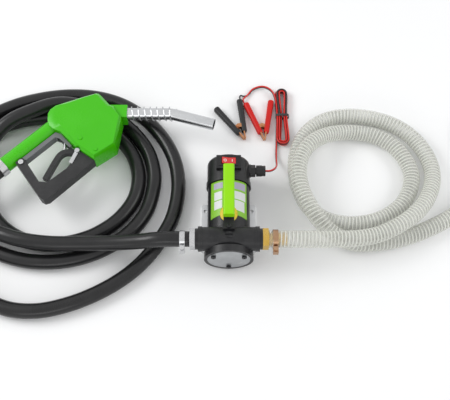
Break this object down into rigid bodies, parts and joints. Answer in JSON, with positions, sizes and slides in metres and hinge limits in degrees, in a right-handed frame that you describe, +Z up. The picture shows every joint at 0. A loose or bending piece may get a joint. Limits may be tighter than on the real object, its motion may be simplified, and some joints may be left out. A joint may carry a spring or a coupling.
{
  "type": "diesel transfer pump kit",
  "caption": "Portable diesel transfer pump with carrying handle, battery-clip lead, black delivery hose with a green trigger nozzle, and clear ribbed suction hose with strainer.",
  "frame": {"origin": "centre of the base plate's four-hole pattern, on the plate's underside", "axes": "+Z up; -Y towards the round cover plate at the pump head; +X towards the suction port, -X towards the delivery port"},
  "size_m": [1.0194, 0.4744, 0.12],
  "materials": {
    "black_paint": "satin",
    "zinc": "satin",
    "yellow_zinc": "satin",
    "steel": "satin",
    "black_screws": "satin",
    "rubber": "matte",
    "sintered": "matte",
    "carbon": "matte",
    "brass": "satin",
    "ferrite": "matte",
    "copper": "satin",
    "aluminium": "satin",
    "spring_wire": "satin",
    "black_plastic": "satin",
    "red_plastic": "gloss",
    "lead_sheath": "satin",
    "clip_black": "satin",
    "clip_red": "satin",
    "lime_plastic": "satin",
    "black_hose": "satin",
    "clear_hose": "gloss",
    "green_plastic": "gloss",
    "grey_plastic": "satin"
  },
  "bodies": {
    "pump": {"pump_body": "black_paint", "cover_plate": "zinc", "cover_gasket": "rubber", "cover_screws": "black_screws", "shaft_seal": "rubber", "bypass_spring": "steel", "bypass_plug": "zinc", "motor_can": "black_paint", "magnets": "ferrite", "motor_bearings": "steel", "rear_endshield": "aluminium", "brush_holder": "carbon", "brushes": "carbon", "brush_springs": "steel", "through_bolts": "steel", "end_cap": "black_paint", "switch_housing": "black_plastic", "cable_gland": "black_plastic", "lead_runs": "lead_sheath", "lead_hank": "lead_sheath", "black_clip_fixed_half": "clip_black", "red_clip_fixed_half": "clip_red", "clip_pins": "steel", "clip_springs": "steel", "base_plate": "zinc", "motor_saddle": "black_paint", "mounting_screws": "black_screws", "handle_bar": "black_plastic", "handle_grip": "lime_plastic", "outlet_tail": "zinc", "inlet_tail": "yellow_zinc", "hose_clamps": "steel", "delivery_hose_run": "black_hose", "delivery_hose_coil": "black_hose", "suction_hose_run": "clear_hose", "suction_hose_coil": "clear_hose", "suction_strainer": "black_plastic", "nozzle_casting": "aluminium", "nozzle_cover": "green_plastic", "nozzle_hose_tail": "black_plastic", "nozzle_collar": "zinc", "spout": "aluminium", "spout_spring": "spring_wire", "guard": "black_plastic", "guard_rail": "grey_plastic", "nozzle_screws": "steel", "valve_spring": "steel", "valve_cap": "brass"},
    "motor_rotor": {"motor_shaft": "steel", "armature": "copper", "commutator": "copper", "rotor": "sintered", "vanes": "carbon"},
    "switch_rocker": {"switch_rocker": "red_plastic"},
    "bypass_poppet": {"bypass_poppet": "brass"},
    "nozzle_lever": {"lever": "black_plastic"},
    "main_valve": {"valve_stem": "brass"},
    "hold_open_clip": {"hold_clip": "steel"},
    "black_clip_jaw": {"black_clip_moving_half": "clip_black"},
    "red_clip_jaw": {"red_clip_moving_half": "clip_red"}
  },
  "joints": [
    {"name": "rotor_spin", "type": "hinge", "parent": "pump", "child": "motor_rotor", "pos_m": [0, 0, 0.048], "axis": [0, 1, 0], "continuous": true},
    {"name": "switch_rock", "type": "hinge", "parent": "pump", "child": "switch_rocker", "pos_m": [0, 0.0915, 0.0882], "axis": [0, 1, 0], "range_deg": [-14, 0]},
    {"name": "bypass_lift", "type": "slide", "parent": "pump", "child": "bypass_poppet", "axis": [0, 0, 1], "range_m": [0, 0.004], "stiffness_N_per_m": 600, "deforming": ["bypass_spring"]},
    {"name": "lever_pull", "type": "hinge", "parent": "pump", "child": "nozzle_lever", "pos_m": [-0.2715, 0.124, 0.056], "axis": [0, 0, 1], "range_deg": [-20, 0], "stiffness_Nm_per_rad": 1.5},
    {"name": "valve_lift", "type": "slide", "parent": "pump", "child": "main_valve", "axis": [0, 1, 0], "range_m": [0, 0.0089]},
    {"name": "hold_clip_swing", "type": "hinge", "parent": "pump", "child": "hold_open_clip", "pos_m": [-0.2715, 0.124, 0.0663], "axis": [0, 0, 1], "range_deg": [-30, 0]},
    {"name": "black_clip_squeeze", "type": "hinge", "parent": "pump", "child": "black_clip_jaw", "pos_m": [0.01942, 0.21268, 0.0068], "axis": [0, 0, 1], "range_deg": [-25, 0], "stiffness_Nm_per_rad": 0.8},
    {"name": "red_clip_squeeze", "type": "hinge", "parent": "pump", "child": "red_clip_jaw", "pos_m": [0.06495, 0.21329, 0.0068], "axis": [0, 0, 1], "range_deg": [0, 25], "stiffness_Nm_per_rad": 0.8}
  ],
  "couplings": [
    {"joint": "valve_lift", "follows": "lever_pull", "m_per_rad": -0.0255}
  ]
}
